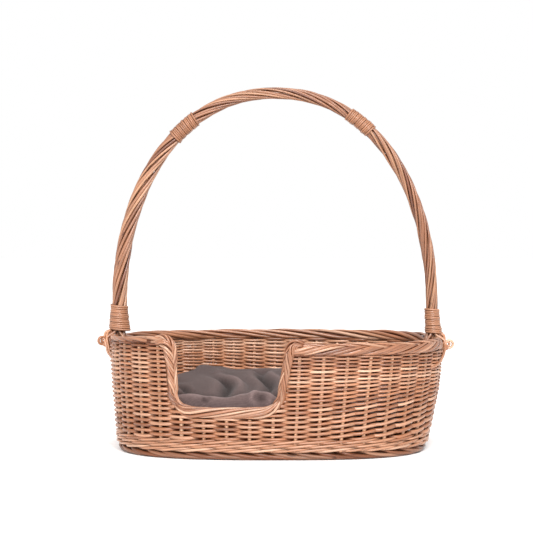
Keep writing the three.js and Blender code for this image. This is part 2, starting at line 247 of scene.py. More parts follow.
class Rods:
    """Gathers round rods into one mesh. The grain attribute runs round and along each rod, tint is
    each rod's own colour, and shade is painted shade, darker where a rod lies deep in the weave."""

    def __init__(self, sides=ROD_SIDES):
        self.sides = sides
        self.angle = 2 * np.pi * np.arange(sides) / sides
        self.vertices = []
        self.faces = []
        self.grain = []
        self.tint = []
        self.shade = []
        self.count = 0

    def add(self, path, radius, across=(0, 0, 1), flat=1.0, shade=1.0, swing=None, crowded=0.0):
        """A rod along a path. `across` is a direction that the path never takes, and a `flat` rod
        is that much thinner along it. `swing` is how far the rod lies outside the wall's middle, from
        -1 to 1: painted shade darkens its sides that face into the wall. A rod that is `crowded`, from 0
        to 1, lies between others, and painted shade darkens all of it but the side that `across` points
        to."""
        path = np.asarray(path, float)
        shade = self.shading(np.broadcast_to(shade, len(path)), swing, crowded)
        across = with_ends(np.broadcast_to(np.asarray(across, float), path.shape))
        radius = with_ends(np.broadcast_to(np.asarray(radius, float), len(path)))
        along = with_ends(unit(np.gradient(path, axis=0)))
        path = with_ends(path)
        path[0] -= along[0] * radius[0] * ROD_END["reach"]
        path[-1] += along[-1] * radius[-1] * ROD_END["reach"]
        radius[[0, -1]] *= ROD_END["radius"]
        side = unit(np.cross(along, across))
        rise = np.cross(side, along)
        cos, sin = np.cos(self.angle), np.sin(self.angle)
        ring = cos[:, None] * side[:, None, :] + flat * sin[:, None] * rise[:, None, :]
        points = path[:, None, :] + radius[:, None, None] * ring
        grain = np.zeros_like(points)
        grain[..., 0] = cos
        grain[..., 1] = sin
        grain[..., 2] = (run_along(path) + random.uniform(0, 50))[:, None]
        tint = np.clip(random.normal(0.5, 0.2), 0, 1)
        self.vertices.append(points.reshape(-1, 3))
        self.grain.append(grain.reshape(-1, 3))
        self.tint.append(np.full(len(path) * self.sides, tint))
        self.shade.append(shade.ravel())
        quads, ends = ring_faces(len(path), self.sides, self.count)
        self.faces += quads + ends
        self.count += len(path) * self.sides

    def shading(self, shade, swing, crowded):
        """The painted shade all round a rod, at each point of its path and at its two ends."""
        shade = with_ends(shade)[:, None] * np.ones(self.sides)
        if swing is not None:
            facing_out = with_ends(swing)[:, None] * np.cos(self.angle)
            shade = shade * lerp(0.03, 1.0, smoothstep(facing_out, -0.75, -0.15))
        between = lerp(0.1, 1.0, smoothstep(np.sin(self.angle), -0.1, 0.6))
        return shade * lerp(1.0, between, crowded)

    def piece(self, name, material, slot, *nodes):
        """The rods as one named piece that rides on the basket and stands for these CAD nodes."""
        mesh = bpy.data.meshes.new(name)
        mesh.from_pydata(np.concatenate(self.vertices).tolist(), [], self.faces)
        grain = mesh.attributes.new("grain", "FLOAT_VECTOR", "POINT")
        grain.data.foreach_set("vector", np.concatenate(self.grain).ravel())
        for label, values in (("tint", self.tint), ("shade", self.shade)):
            attribute = mesh.attributes.new(label, "FLOAT", "POINT")
            attribute.data.foreach_set("value", np.concatenate(values))
        return shown(name, mesh, material, "basket", nodes)


def added(name, data):
    """A new object in the scene."""
    made = bpy.data.objects.new(name, data)
    bpy.context.scene.collection.objects.link(made)
    return made


def shown(name, mesh, material, body, nodes):
    """A smooth piece made from a mesh, riding on a body in place of its CAD nodes."""
    mesh.polygons.foreach_set("use_smooth", [True] * len(mesh.polygons))
    mesh.materials.append(material)
    made = added(name, mesh)
    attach(made, body)
    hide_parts(*nodes)
    return made


class Line:
    """A middle line with the directions out of it and up from it, to lay rods round."""

    def __init__(self, points, outward, upward):
        self.points = points
        self.outward = outward
        self.upward = upward
        self.run = run_along(points)
        self.length = self.run[-1]

    def beside(self, run, reach, angle):
        """Points beside the line: the angle turns from its outer side towards its upper side."""
        middle, outward, upward = (
            table_at(run, self.run, table) for table in (self.points, self.outward, self.upward)
        )
        turned = np.cos(angle)[:, None] * outward + np.sin(angle)[:, None] * upward
        return middle + turned * np.asarray(reach)[..., None]

    def out(self, run, angle):
        """The direction out of the line at an angle round it."""
        return self.beside(run, 1.0, angle) - self.beside(run, 0.0, angle)

    def spot(self, run, reach, angle):
        """One point beside the line."""
        return self.beside(np.array([run]), reach, np.array([angle]))[0]


def line_on_wall(shares, heights):
    """A line round the wall, whose upper side points up."""
    upward = np.tile([0.0, 0.0, 1.0], (len(shares), 1))
    return Line(wall(shares, heights), wall_outward(shares, heights), upward)


def roll(
    rods, line, ring, thickness, lay, in_section, hand,
    first_angle=-90.0, dive=0.03, turns=1.0, crowded=0.8, bright=1.0,
):
    """A rolled border, with so many rods side by side: each turns round the line once over `lay`, for
    so many turns, and both its ends dive into the middle. hand 1 rises along the line on the outside,
    -1 falls."""
    spacing = lay * turns / in_section
    start = spacing - lay * turns
    while start < line.length - 0.3 * spacing:
        begin = start + random.uniform(-0.25, 0.25) * spacing
        end = begin + lay * turns * random.uniform(0.92, 1.1)
        run = np.linspace(begin, end, 30)
        run = run[(run > 0) & (run < line.length)]
        start += spacing
        if len(run) < 5:
            continue
        angle = math.radians(first_angle) + hand * 2 * np.pi * (run - begin) / lay
        from_end = np.minimum(run - run[0], run[-1] - run)
        size = thickness * random.uniform(0.82, 1.14)
        reach = np.interp(run, line.run, np.broadcast_to(ring, line.points.shape[0]))
        reach = (reach + random.uniform(-0.0010, 0.0008)) * lerp(0.45, 1.0, smoothstep(from_end, 0, dive))
        taper = lerp(1.12, 0.82, (run - run[0]) / (run[-1] - run[0]))
        # Painted shade: a rod is darker where its ends dive into the middle, and all over by `bright`;
        # `crowded` paints shade between the rods.
        shade = bright * lerp(0.75, 1.0, smoothstep(from_end, 0, dive * 0.7))
        path = line.beside(run, reach, angle)
        rods.add(path, size * taper, across=line.out(run, angle), shade=shade, crowded=crowded)


# ---- Materials ----


def linear(red, green, blue):
    """A colour given as 0 to 255, as Blender's linear colour."""
    values = np.array([red, green, blue]) / 255
    return (*np.where(values < 0.04045, values / 12.92, ((values + 0.055) / 1.055) ** 2.4), 1.0)


class Nodes:
    """A material's node tree, with short ways to add and link its nodes."""

    def __init__(self, name):
        self.material = bpy.data.materials.new(name)
        self.material.use_nodes = True
        self.tree = self.material.node_tree
        self.shader = self.tree.nodes["Principled BSDF"]

    def add(self, kind, inputs=None, **settings):
        node = self.tree.nodes.new(kind)
        for key, value in settings.items():
            setattr(node, key, value)
        for key, value in (inputs or {}).items():
            if isinstance(value, bpy.types.NodeSocket):
                self.tree.links.new(value, node.inputs[key])
            else:
                node.inputs[key].default_value = value
        return node

    def ramp(self, value, stops):
        """A colour ramp over a value, from (place, colour) stops."""
        node = self.add("ShaderNodeValToRGB", {"Fac": value})
        elements = node.color_ramp.elements
        while len(elements) < len(stops):
            elements.new(0.5)
        for element, (place, colour) in zip(elements, stops):
            element.position = place
            element.color = colour
        return node.outputs["Color"]

    def multiplied(self, colour, value, *stops):
        """A colour times a colour ramp over a value."""
        node = self.add("ShaderNodeMix", {0: 1.0}, data_type="RGBA", blend_type="MULTIPLY")
        self.tree.links.new(colour, node.inputs[6])
        self.tree.links.new(self.ramp(value, stops), node.inputs[7])
        return node.outputs[2]

    def attribute(self, name, output="Fac"):
        return self.add("ShaderNodeAttribute", attribute_name=name).outputs[output]

    def grain_noise(self, across, along, detail):
        """Noise that is drawn out along each rod."""
        grain = self.attribute("grain", "Vector")
        scaled = self.add("ShaderNodeMapping", {"Vector": grain, "Scale": (across, across, along)})
        return self.noise(scaled.outputs["Vector"], 1.0, detail)

    def noise(self, vector, scale, detail):
        inputs = {"Vector": vector, "Scale": scale, "Detail": detail}
        return self.add("ShaderNodeTexNoise", inputs).outputs["Fac"]

    def surface(self, colour, roughness, height, bump, distance):
        """The finished material, with its colour, roughness and relief linked to the shader."""
        link = self.tree.links.new
        link(colour, self.shader.inputs["Base Color"])
        link(roughness, self.shader.inputs["Roughness"])
        relief = self.add("ShaderNodeBump", {"Height": height, "Strength": bump, "Distance": distance})
        link(relief.outputs["Normal"], self.shader.inputs["Normal"])
        return self.material


def grey(value):
    return (value, value, value, 1.0)


def willow(name, dark, middle, pale):
    """Peeled willow: each rod has its own tint, with long streaks, blotches and a few dark scars,
    and painted shade from the shade attribute.
    """
    nodes = Nodes(name)
    shade = nodes.attribute("shade")
    blotches = nodes.grain_noise(1.6, 26.0, 4.0)
    streaks = nodes.grain_noise(6.0, 30.0, 3.0)
    scars = nodes.grain_noise(0.9, 60.0, 1.0)
    colour = nodes.ramp(nodes.attribute("tint"), [(0.0, dark), (0.5, middle), (1.0, pale)])
    colour = nodes.multiplied(colour, blotches, (0.3, grey(0.62)), (0.62, grey(1.12)))
    colour = nodes.multiplied(colour, streaks, (0.3, grey(0.78)), (0.7, grey(1.1)))
    colour = nodes.multiplied(colour, scars, (0.24, (0.3, 0.2, 0.14, 1)), (0.31, grey(1.0)))
    # Painted shade: the shade attribute darkens the colour towards a deep red-brown, and dims the specular
    # with it.
    colour = nodes.multiplied(colour, shade, (0.0, (0.22, 0.07, 0.02, 1)), (1.0, grey(1.0)))
    shine = nodes.add("ShaderNodeMath", {0: shade, 1: 0.7}, operation="MULTIPLY").outputs[0]
    nodes.tree.links.new(shine, nodes.shader.inputs["Specular IOR Level"])
    rough = nodes.ramp(streaks, [(0.2, grey(0.24)), (0.8, grey(0.42))])
    return nodes.surface(colour, rough, streaks, 0.35, 0.0005)


def fabric(name):
    """A plain weave of warm grey yarn, a little brushed, with painted shade in its folds and
    painted highlights on their ridges and on the front roll.
    """
    nodes = Nodes(name)
    place = nodes.add("ShaderNodeTexCoord").outputs["Object"]
    wave = {"Vector": place, "Scale": 190.0, "Distortion": 2.0, "Detail": 1.0, "Detail Scale": 2.0}
    threads = [
        nodes.add("ShaderNodeTexWave", wave, bands_direction=direction).outputs["Fac"]
        for direction in ("X", "Y")
    ]
    weave = nodes.add("ShaderNodeMath", {0: threads[0], 1: threads[1]}, operation="MULTIPLY").outputs[0]
    slubs = nodes.noise(place, 240.0, 2.0)
    cloud = nodes.noise(place, 9.0, 2.0)
    colour = nodes.ramp(slubs, [(0.3, linear(73, 60, 59)), (0.7, linear(82, 69, 68))])
    colour = nodes.multiplied(colour, weave, (0.0, grey(0.8)), (0.6, grey(1.05)))
    colour = nodes.multiplied(colour, cloud, (0.3, grey(0.92)), (0.7, grey(1.06)))
    # Painted shade and highlights: the shade attribute darkens the folds and lightens the ridges and the
    # roll, from a quarter up to 2.8 times.
    folds = nodes.attribute("shade")
    colour = nodes.multiplied(colour, folds, (0.0, (0.25, 0.2, 0.2, 1)), (1.0, grey(2.8)))
    nodes.shader.inputs["Sheen Weight"].default_value = 0.06
    nodes.shader.inputs["Sheen Roughness"].default_value = 0.5
    nodes.shader.inputs["Specular IOR Level"].default_value = 0.25
    rough = nodes.ramp(slubs, [(0.2, grey(0.82)), (0.8, grey(0.95))])
    return nodes.surface(colour, rough, weave, 0.4, 0.0005)


# ---- The woven sides ----


def slow_wave(share, seed, size):
    """A slow rise and fall round the basket."""
    phases = np.random.default_rng(seed).uniform(0, 2 * np.pi, 4)
    waves = [np.sin(2 * np.pi * (k + 1) * share + phase) / (k + 1) for k, phase in enumerate(phases)]
    return size * sum(waves)


def weave_top(share):
    return rim_height(share) - 0.6 * rim_radius(share)


def front_right_rise(share, level):
    """The rows of the right front climb towards the handle, and come down again round the end."""
    share = np.asarray(share) % 1
    front = smoothstep(share, 0.75, 0.96) * (share > 0.5)
    round_the_end = (1 - smoothstep(share, 0.02, 0.16)) * (share < 0.5)
    return FRONT_RISE * (front + round_the_end) * np.sin(np.pi * level) * (1 - level)


def stroke_slant(share, level):
    """How much the strokes of the lower right front slant up to the right."""
    share = np.asarray(share) % 1
    return smoothstep(share, 0.76, 0.86) * (1 - smoothstep(level, 0.25, 0.75))


def row_pitches():
    """How high each row of the side weave stands, as its part of the whole."""
    pitches = np.linspace(ROW_PITCH["bottom"], ROW_PITCH["top"], ROWS)
    return pitches / pitches.sum()


def row_height(share, level):
    """The height of a row. Across the back the rows lean down towards the right."""
    half = BACK_LEAN["half"]
    past_middle = np.asarray(share) % 1 - BACK_LEAN["middle"]
    behind = 1 - smoothstep(np.abs(past_middle), half / 2, half)
    lean = -BACK_LEAN["most"] * np.sin(np.pi * past_middle / half) * behind
    even = lerp(UPSETT_TOP, weave_top(share), np.clip(level, 1e-4, 1) ** (1 + lean))
    drift = slow_wave(share + level * 0.15, 3, 0.0009) * math.sin(math.pi * level)
    return even + drift + front_right_rise(share, level)


def row_ends(level):
    """The places round the wall, counted in stakes, between which a row runs: it ends under the entry
    border. A row under the entry goes all the way round, and has none."""
    ends = []
    for side, turns in (("right", 0), ("left", 1)):
        height = float(row_height(front_share(ENTRY[side], ENTRY["bottom"]), level))
        if height < ENTRY["bottom"] - 0.002:
            return None
        end = entry_edge(side, height) + OUTWARD[side] * UNDER_BORDER
        ends.append((front_share(end, height) + turns) * STAKES)
    return ends


def weave_rod(rods, level, part, parity, begin, end, thick, thin):
    """One weaver between two places, which goes outside and inside the stakes by turns. It is as
    thick as its row is high there, times `thick` at its butt and `thin` at its tip, and a stake
    squeezes it a little. The back is woven closer. Painted shade darkens the lower rows, and a painted
    shadow the front close under the rim; at the back the painted shade on inward sides is weaker."""
    steps = max(int((end - begin) * STEPS_PER_STAKE), 4)
    place = np.linspace(begin, end, steps + 1)
    share = place / STAKES
    row = row_height(share, min(level + part / 2, 1)) - row_height(share, level - part / 2)
    behind = 1 - smoothstep(np.abs(share % 1 - 0.25), 0.14, 0.24)
    radius = row * lerp(thick, thin, (place - begin) / (end - begin)) * (1 + 0.2 * behind)
    radius = radius * lerp(0.93, 1.1, np.sin(np.pi * place) ** 2)
    swing = STAKE_RADIUS + radius * 0.6
    wave = np.cos(np.pi * (place + parity))
    out = swing * np.tanh(1.3 * wave) / math.tanh(1.3)
    knots = np.arange(math.floor(begin), math.ceil(end) + 2)
    rise = np.interp(place, knots, random.normal(0, WANDER["height"], len(knots)))
    slant = SLANT * stroke_slant(share, level) * np.sin(np.pi * (place + parity))
    height = row_height(share, level) + rise + slant
    out = out + np.interp(place, knots, random.normal(0, WANDER["out"], len(knots)))
    out = np.clip(out, -WALL_HALF, WALL_HALF)
    # Painted shade: darker towards the bottom, and a painted shadow under the rim on the front, reaching
    # further down at the raised corner.
    painted_rim_shadow = smoothstep(level, lerp(0.88, 0.8, corner_rise(share)), 1) * (1 - behind)
    shade = lerp(0.80, 1.0, smoothstep(level, 0, 0.7)) * lerp(1.0, 0.55, painted_rim_shadow)
    # At the back the painted shade on the sides that face into the wall is weaker.
    rods.add(wall(share, height, out), radius, shade=shade, swing=out / swing * (1 - 0.5 * behind))


def inside_stake(place, parity):
    """The nearest stake that this row's weaver passes on the inside."""
    whole = round(place)
    return whole if (whole + parity) % 2 else whole + 1


def weave_row(rods, row, level, part):
    """A row of weavers, each of them 10 to 16 stakes long, whose ends lie inside the wall."""
    parity = row % 2
    ends = row_ends(level)
    if ends:
        first, last = ends
    else:
        first = inside_stake(random.uniform(0, STAKES), parity)
        last = first + STAKES
    overlap = 0.22
    begin = first
    while begin < last - 0.5:
        end = inside_stake(begin + random.uniform(9, 16), parity)
        if end > last - 5:
            end = last
        thick = WEAVER["thick"] * random.uniform(0.92, 1.06)
        thin = WEAVER["thin"] * random.uniform(0.95, 1.12)
        if random.random() < 0.5:
            thick, thin = thin, thick
        span = max(begin - overlap, first), min(end + overlap, last)
        weave_rod(rods, level, part, parity, *span, thick, thin)
        begin = end


def side_weave(material):
    """The randing, in three bands."""
    parts = row_pitches()
    levels = np.cumsum(parts) - parts / 2
    bands = 3
    for band in range(bands):
        rods = Rods()
        for row in range(band * ROWS // bands, (band + 1) * ROWS // bands):
            weave_row(rods, row, levels[row], parts[row])
        rods.piece(f"randing_band_{band + 1}", material, "willow", "side_weave")


def stakes(material):
    """The upright rods. They follow the wall's bulge, between the heights of the CAD's own."""
    for i in range(1, STAKES - 1):
        node = f"stake_{i:02d}"
        low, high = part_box(node)
        place = i if i < STAKES // 2 else i + 1
        path = wall(place / STAKES, np.linspace(low.z, high.z, 16))
        rods = Rods()
        rods.add(path, STAKE_RADIUS * random.uniform(0.96, 1.06), across=(1, 0.3, 0))
        rods.piece(f"stake_rod_{i:02d}", material, "willow", node)


def upsett_wale(material):
    """Three rounds of three-rod wale: each rod goes outside two stakes and inside one."""
    rods = Rods()
    rounds, weavers = 3, 3
    round_height = (UPSETT_TOP - FOOT_TOP) / rounds
    radius = 0.0022
    reach = STAKE_RADIUS + radius
    turns_per_stake = 13 / STAKES  # close to one in three, and a whole number all the way round
    place = np.linspace(0, STAKES, STAKES * STEPS_PER_STAKE + 1)
    for number in range(rounds):
        middle = FOOT_TOP + round_height * (number + 0.5)
        wavy = slow_wave(place / STAKES, 20 + number, 0.0004)
        for weaver in range(weavers):
            turn = 2 * np.pi * (place - weaver - number * 0.5) * turns_per_stake
            out = reach * np.clip(np.cos(turn) * 1.25 + 0.15, -1, 1)
            height = middle + wavy + (round_height / 2 - radius * 0.6) * np.sin(turn)
            size = radius * random.uniform(0.95, 1.08)
            # A little darker all over, with painted shade on the sides that face into the wall.
            rods.add(wall(place / STAKES, height, out), size, shade=0.85, swing=out / reach)
    rods.piece("upsett_rods", material, "willow", "upsett_wale")


FOOT_COURSE = (  # how far on, in stakes; the height as a part of the foot's; and how far out
    (-0.25, 0.95, -0.012),
    (0.10, 0.90, -0.004),
    (0.4, 0.70, 0.0),
    (1.0, 0.44, 0.0008),
    (1.9, 0.27, -0.0015),
    (2.7, 0.26, -0.007),
    (3.3, 0.30, -0.013),
)


def foot_border(material):
    """The foot: from each stake a rod comes out under the wale, slants down over two more and goes in
    under them. The foot is flat where it stands."""
    radius = 0.0034
    place, part, out = curve_through(FOOT_COURSE, 5).T
    # Darker all over, with painted shade where the rods lie inside the wall.
    shade = 0.48 * lerp(0.5, 1.0, smoothstep(out, -0.01, -0.003))
    rods = Rods()
    for number in range(STAKES):
        share = (number + place + random.uniform(-0.12, 0.12)) / STAKES
        size = radius * random.uniform(0.9, 1.08) * np.linspace(1.05, 0.85, len(place))
        rods.add(wall(share, np.maximum(part * FOOT_TOP, size), out), size, shade=shade)
    # The two inner rounds are dark with painted shade.
    for inset in (0.009, 0.016):
        rods.add(wall(np.linspace(0, 1, 161), FOOT_TOP * 0.55, -inset), radius, shade=0.5)
    for points in rods.vertices:
        points[:, 2] = np.maximum(points[:, 2], 0.0)
    rods.piece("foot_rods", material, "willow", "foot_border")


def plait(rods, line, half, lay, lean, part, bright=1.0):
    """A border of two rolls side by side, whose rods meet in a row of chevrons. `half` is half the
    border's width, `lean` is how far the smaller roll lies to its upper side, and `part` is a rod's
    radius as a part of `half`."""
    half = np.broadcast_to(half, len(line.points))
    big = Line(line.points - line.upward * (lean * 0.4 * half)[:, None], line.outward, line.upward)
    small = Line(line.points + line.upward * (lean * 1.5 * half)[:, None], line.outward, line.upward)
    thickness = float(half.mean()) * part
    count = int(2.4 / part)
    big_ring = half * (1 - lean * 0.4) - thickness
    small_ring = half * (1 - lean * 1.5) - thickness * 0.8
    roll(rods, big, big_ring, thickness, lay, count, 1, bright=bright)
    roll(rods, small, small_ring, thickness * 0.9, lay * 0.8, count // 2, -1, dive=0.012, bright=bright)
    # A core rod along the middle, with painted shade so that it is dark where it shows between the rods.
    rods.add(line.points, half * 0.45, across=line.outward, shade=0.3)


def rim_border(material):
    """The rolled rim: a plait on the right front, and one long roll round the back."""
    rods = Rods()
    right_end = front_share(ENTRY["right"] + LEAN["right"] - 0.004, RIM["height"])
    shares = np.linspace(right_end, 1.0, 61)
    line = line_on_wall(shares, rim_height(shares))
    plait(rods, line, rim_radius(shares), lay=0.19, lean=0.3, part=0.26)
    shares = np.linspace(-0.01, 0.51, 121)
    line = line_on_wall(shares, rim_height(shares))
    ring = rim_radius(shares) - 0.0036
    roll(rods, line, ring, 0.0035, lay=0.30, in_section=6, hand=-1, dive=0.06)
    # A core rod along the middle, with painted shade so that it is dark where it shows between the rods.
    rods.add(line.points, rim_radius(shares) * 0.4, shade=0.3)
    rods.piece("rim_rods", material, "willow", "rim_border")


def arc(centre, radius, start, end, steps=9):
    """Points of an arc in the plane of the front, between two angles in degrees."""
    angle = np.radians(np.linspace(start, end, steps))
    return [(centre[0] + radius * math.cos(a), centre[1] + radius * math.sin(a)) for a in angle]


def front_line(spots):
    """A line on the front wall through (x, z) places, evenly resampled. Its upper side is to the left
    of the way it runs, seen from the front."""
    spots = np.array(spots)
    run = run_along(spots)
    spacing = 0.004
    even = np.linspace(0, run[-1], max(int(run[-1] / spacing), 12))
    x, z = table_at(even, run, spots).T
    shares = np.array([front_share(*spot) for spot in zip(x, z)])
    points = wall(shares, z)
    outward = wall_outward(shares, z)
    return Line(points, outward, unit(np.cross(outward, unit(np.gradient(points, axis=0)))))


def entry_edges():
    """The stretches of the entry's edge, as (x, z) places on the front wall, in order from the foot of
    the handle on the left to the curl over the end of the right rim."""
    left, right, bottom, corner = (ENTRY[key] for key in ("left", "right", "bottom", "corner"))
    shoulder, inset = 0.016, 0.002
    top = CORNER["height"] - 0.001
    turn_x = left - LEAN["left"] + inset - shoulder
    end_x = wall_flat(np.asarray(0.503), np.asarray(top))[0]
    rim = np.linspace(end_x, turn_x, 20)
    down = np.linspace(top - shoulder - 0.006, bottom + corner, 14)
    along = np.linspace(left + corner, right - corner, 14)[1:-1]
    up = np.linspace(bottom + corner, RIM["height"] - 0.002, 12)[1:]
    curl = (entry_edge("right", RIM["height"]) + 0.012, RIM["height"] - 0.001)
    return {
        "rim": [(x, top - 0.005 * (turn_x - x) / (turn_x - end_x)) for x in rim],
        "shoulder": arc((turn_x, top - shoulder), shoulder, 90, 0),
        "down": [(entry_edge("left", z) + inset, z) for z in down],
        "left_corner": arc((left + corner, bottom + corner), corner, 180, 270),
        "along": [(x, bottom) for x in along],
        "right_corner": arc((right - corner, bottom + corner), corner, 270, 360),
        "up": [(entry_edge("right", z), z) for z in up],
        "curl": arc(curl, 0.0115, 180, 50),
    }


def entry_border(material):
    """The edge of the cut-out. The left rim's rods turn down into a plait, long rods run along the
    bottom, and the right side's curl over the end of the right rim. Neighbours overlap a little."""
    edges = entry_edges()
    rods = Rods()
    line = front_line(edges["rim"] + edges["shoulder"][:7])
    ring = lerp(0.0040, 0.0062, smoothstep(line.run / line.length, 0.2, 0.95))
    roll(rods, line, ring, 0.0033, 0.30, 6, -1, first_angle=-110, dive=0.02, turns=0.6, crowded=0.5)
    # A core rod along the middle, with painted shade so that it is dark where it shows between the rods.
    rods.add(line.points, 0.0036, shade=0.4)
    line = front_line(edges["rim"][-4:] + edges["shoulder"][1:] + edges["down"] + edges["left_corner"][:7])
    wider, narrower = (smoothstep(line.run, *span) for span in ((0, 0.03), (0.04, 0.08)))
    half = lerp(lerp(0.006, 0.0145, wider), 0.0100, narrower)
    plait(rods, line, half, lay=0.090, lean=0.42, part=0.23)
    line = front_line(edges["left_corner"][3:] + edges["along"] + edges["right_corner"][:7])
    roll(rods, line, 0.0072, 0.0029, lay=0.28, in_section=9, hand=1, dive=0.02)
    # A core rod along the middle, with painted shade so that it is dark where it shows between the rods.
    rods.add(line.points, 0.0055, shade=0.4)
    line = front_line(edges["right_corner"][3:] + edges["up"] + edges["curl"])
    half = lerp(0.0088, 0.0104, smoothstep(line.run / line.length, 0.35, 0.8))
    # Painted shade: the right side's plait is darker all over.
    plait(rods, line, half, lay=0.105, lean=0.3, part=0.24, bright=0.84)
    rods.piece("entry_rods", material, "willow", "entry_border")


def base(material):
    """The woven base: cross sticks with close weavers running the long way."""
    low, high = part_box("base_mat")
    half_length, half_depth = (high.x - low.x) / 2, (high.y - low.y) / 2
    middle_x, _, level = centre_of("base_mat")
    power, stick, weaver = 2.8, 0.0024, 0.0019
    sticks, rows = 13, 78
    gap = half_length / 6.8
    rods = Rods()
    for x in gap * np.arange(-(sticks // 2), sticks // 2 + 1):
        reach = half_depth * oval_share(x / half_length, power)
        y = np.linspace(-reach, reach, 12)
        rods.add(np.stack([np.full(12, middle_x + x), y, np.full(12, level)], -1), stick)
    for row in range(rows):
        y = lerp(-half_depth, half_depth, (row + 0.5) / rows) * 0.985
        reach = half_length * oval_share(y / half_depth, power)
        x = np.linspace(-reach, reach, 90)
        over = (stick + weaver - 0.0003) * np.cos(np.pi * (x / gap + row))
        path = np.stack([middle_x + x, y + slow_wave(x, 100 + row, 0.0003), level + over], -1)
        rods.add(path, weaver * random.uniform(0.9, 1.15))
    rods.piece("base_rods", material, "willow", "base_mat")


# ---- The handle ----

# The rods round the handle, how often they go round it, and how far out they reach at three places.
HANDLE = {"strands": 11, "turns": 4.2, "left": 0.0136, "top": 0.0105, "right": 0.0109}
LASHING = {"upper_half": 0.027, "pitch": 0.0036}  # half an upper lashing's length, and one turn's width
FLARE = {"left": 0.0040, "right": 0.0030}  # how much wider the lower lashings are at the bottom
UPPER_SHADE = {"left": 0.7, "right": 0.8}  # how bright the upper lashings are, as painted shade
STRANDS_TO = {"left": 0.215, "right": 0.209}  # the heights, in the lower lashings, where the strands end
BEHIND = (0.0, 1.0, 0.0)  # a direction that the handle's bow and the loops' knots never take
BEHIND_AND_OUT = (0.35, 1.0, 0.1)  # one that the handle's feet never take
TIES = {  # share of the way round, height from the rim's middle, distance out of the wall
    "left": (
        (0.504, 0.011, 0.0150),
        (0.508, 0.0, 0.0168),
        (0.510, -0.012, 0.0138),
        (0.513, -0.024, 0.0098),
        (0.515, -0.034, 0.002),
    ),
    "right": (
        (-0.004, 0.012, 0.0110),
        (-0.009, 0.0, 0.0130),
        (-0.015, -0.010, 0.0103),
        (-0.036, -0.022, 0.0060),
        (-0.056, -0.033, 0.0070),
        (-0.064, -0.038, 0.001),
    ),
}
TIE_RODS = {  # each rod's place beside its tie's course, along X and Y
    "left": ((0.0, -0.002), (0.0042, -0.004), (0.0080, 0.001), (0.0115, -0.003)),
    "right": ((0.0, 0.0),),
}
TIE_RADIUS = {"left": 0.0023, "right": 0.0029}
LOOP_INWARD = {"left": 0.001, "right": 0.005}  # how far the loops lie inwards of the CAD's
LOOP_TURN = {"left": 0.5, "right": 0.0}  # how far each loop is turned away from the front, in radians


def bow_line():
    """The bow's middle line, left foot first. Its outer side is away from the arch's middle, and its
    upper side is the back."""
    points = vertices_of("handle_bow")
    level = points[points[:, 1] > points[:, 1].max() - 1e-4]
    middle = np.unique(np.round(level, 6), axis=0) * (1, 0, 1)
    heading = np.arctan2(middle[:, 2] - RIM["height"], middle[:, 0])
    heading = np.where(heading < -np.pi / 2, heading + 2 * np.pi, heading)
    smooth = curve_through(middle[np.argsort(-heading)], 6)
    along = unit(np.gradient(smooth, axis=0))
    outward = np.stack([-along[:, 2], along[:, 1], along[:, 0]], -1)
    return Line(smooth, outward, np.tile(BEHIND, (len(smooth), 1)))


def run_at(bow, side, height):
    """How far along the bow it passes a height, on the left or on the right."""
    half = len(bow.run) // 2
    if side == "left":
        return float(np.interp(height, bow.points[:half, 2], bow.run[:half]))
    return float(np.interp(height, bow.points[:half:-1, 2], bow.run[:half:-1]))


def strand_outer(bow, run):
    """How far out the strands reach: they thin from the left end to the top."""
    over = run / bow.length
    left = lerp(HANDLE["left"], HANDLE["top"], smoothstep(over, 0.2, 0.5))
    return np.where(over < 0.5, left, lerp(HANDLE["top"], HANDLE["right"], smoothstep(over, 0.5, 0.8)))


def handle_strands(bow, material):
    """Long rods twisted round the bow, with painted shade over the top and down the right and between
    the rods. Each CAD strand is stood for by the rods in its place."""
    count = HANDLE["strands"]
    packed = math.sin(math.pi / count)
    start, end = (run_at(bow, side, height) for side, height in STRANDS_TO.items())
    run = np.linspace(start, end, 240)
    over = (run - start) / (end - start)
    # Painted shade: darker over the top and down the right.
    shade = lerp(1.0, 0.8, smoothstep(over, 0.2, 0.5))
    groups = 4
    for group in range(groups):
        rods = Rods(sides=10)
        for number in range(group, count, groups):
            size = random.uniform(0.78, 1.12)
            radius = strand_outer(bow, run) * packed / (1 + packed) * size
            wander = slow_wave(over * 1.3, 200 + number, 0.12)
            angle = 2 * np.pi * (number / count - over * HANDLE["turns"]) + wander
            reach = strand_outer(bow, run) - radius + slow_wave(over * 2, 230 + number, 0.00035)
            path = bow.beside(run, reach, angle)
            rods.add(path, radius * 1.03, bow.out(run, angle), shade=shade, crowded=0.7)
        rods.piece(f"twisted_rods_{group + 1}", material, "willow", f"handle_strand_{group + 1}")


def lashing(bow, name, node, start, end, material, flare=0.0, flare_at_start=True, shade=1.0):
    """A binding of flat skein, wound close round the strands. A flare makes one end of it wider, most
    of all towards +X."""
    turns, steps = round((end - start) / LASHING["pitch"]), 26
    over = np.linspace(0, 1, turns * steps)
    half_width = (end - start) / turns / 2
    run = lerp(start + half_width, end - half_width, over)
    angle = 2 * np.pi * turns * over + 1.0
    wave = np.interp(over * turns, np.arange(turns + 1), random.normal(0, 0.0005, turns + 1))
    spread = flare * ((1 - over) if flare_at_start else over) ** 2
    reach = strand_outer(bow, run) + 0.0012 + wave + spread
    tilt = 0.0006 * np.sin(angle + 0.7) + 0.0003 * np.sin(angle * 0.61 + 2)
    thick = half_width * lerp(0.94, 1.1, np.sin(angle * 0.37) ** 2)
    path = bow.beside(run + tilt, reach, angle)
    path[:, 0] += 0.7 * spread
    rods = Rods(sides=8)
    # Painted shade: darker all over by `shade`, and between the turns.
    rods.add(path, thick, bow.out(run, angle), flat=0.75, shade=shade, crowded=0.6)
    rods.piece(name, material, "skein", node)


